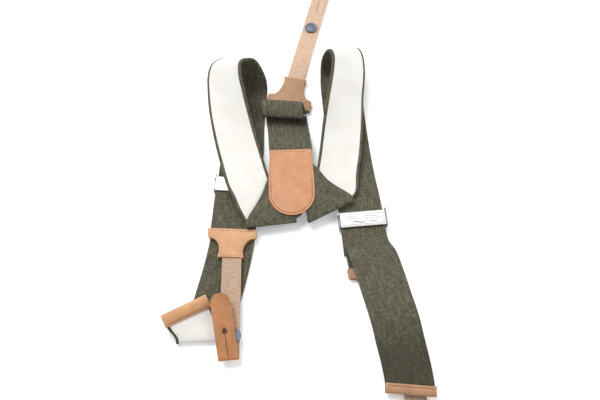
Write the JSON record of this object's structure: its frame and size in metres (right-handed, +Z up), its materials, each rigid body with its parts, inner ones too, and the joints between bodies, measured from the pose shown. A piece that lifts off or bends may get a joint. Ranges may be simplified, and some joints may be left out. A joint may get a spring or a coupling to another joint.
{
  "type": "suspenders",
  "caption": "Trouser suspenders of wide elastic webbing with a leather back patch, sliding adjusters and folding leather stud straps, laid in loose loops.",
  "frame": {"origin": "on the table under the middle of the outline, at the object's lowest level", "axes": "+Z up from the table, +Y from the trouser ends of the front straps towards the rear stud strap, +X to the right as the patch's outer face is seen with its round end near"},
  "size_m": [0.225, 0.4816, 0.0473],
  "materials": {
    "webbing": "olive elastic webbing, fine crosswise weave",
    "lining": "cream brushed inner face",
    "tab_leather": "smooth orange-tan vegetable-tanned leather",
    "strap_leather": "tan leather strap, flesh side up",
    "stud_steel": "dull nickel-plated steel",
    "adjuster_plating": "bright nickel plating"
  },
  "bodies": {
    "straps": {"left_shoulder_webbing": "webbing", "left_shoulder_lining": "lining", "right_shoulder_webbing": "webbing", "right_shoulder_lining": "lining", "centre_back_strap": "webbing", "left_end_binding": "tab_leather", "right_end_binding": "tab_leather", "back_patch_rear": "tab_leather", "back_patch_front": "tab_leather", "rear_tab_back": "tab_leather", "rear_tab_front": "tab_leather", "rear_stud_strap": "strap_leather", "rear_stud_head": "stud_steel", "rear_stud_base": "stud_steel"},
    "rear_strap_end": {"rear_stud_strap_end": "strap_leather"},
    "left_slider": {"left_adjuster_frame": "adjuster_plating", "left_adjuster_pin": "adjuster_plating", "left_short_strap": "webbing", "left_tab_back": "tab_leather", "left_tab_front": "tab_leather", "left_stud_strap": "strap_leather", "left_stud_head": "stud_steel", "left_stud_base": "stud_steel"},
    "left_plate": {"left_adjuster_plate": "adjuster_plating"},
    "left_strap_end": {"left_stud_strap_end": "strap_leather"},
    "right_slider": {"right_adjuster_frame": "adjuster_plating", "right_adjuster_pin": "adjuster_plating", "right_short_strap": "webbing", "right_tab_back": "tab_leather", "right_tab_front": "tab_leather", "right_stud_strap": "strap_leather", "right_stud_head": "stud_steel", "right_stud_base": "stud_steel"},
    "right_plate": {"right_adjuster_plate": "adjuster_plating"},
    "right_strap_end": {"right_stud_strap_end": "strap_leather"}
  },
  "joints": [
    {"name": "left_adjuster_slide", "type": "slide", "parent": "straps", "child": "left_slider", "axis": [0.068, 0.9977, 0], "range_m": [0, 0.004]},
    {"name": "right_adjuster_slide", "type": "slide", "parent": "straps", "child": "right_slider", "axis": [0.0872, -0.9962, 0], "range_m": [0, 0.008]},
    {"name": "left_plate_hinge", "type": "hinge", "parent": "left_slider", "child": "left_plate", "pos_m": [-0.05455, -0.00337, 0.00821], "axis": [-0.9977, 0.068, 0], "range_deg": [0, 2]},
    {"name": "right_plate_hinge", "type": "hinge", "parent": "right_slider", "child": "right_plate", "pos_m": [0.05514, -0.03638, 0.00821], "axis": [-0.9962, -0.0872, 0], "range_deg": [0, 100]},
    {"name": "left_strap_fold", "type": "hinge", "parent": "left_slider", "child": "left_strap_end", "pos_m": [-0.05578, -0.16244, 0.00999], "axis": [0.9951, 0.0993, -0.0022], "range_deg": [0, 160]},
    {"name": "right_strap_fold", "type": "hinge", "parent": "right_slider", "child": "right_strap_end", "pos_m": [0.09124, -0.19061, 0.00322], "axis": [-0.9548, -0.2974, 0], "range_deg": [0, 50]},
    {"name": "rear_strap_fold", "type": "hinge", "parent": "straps", "child": "rear_strap_end", "pos_m": [0.01717, 0.19003, 0.00322], "axis": [0.9694, -0.2453, 0], "range_deg": [0, 165]}
  ]
}
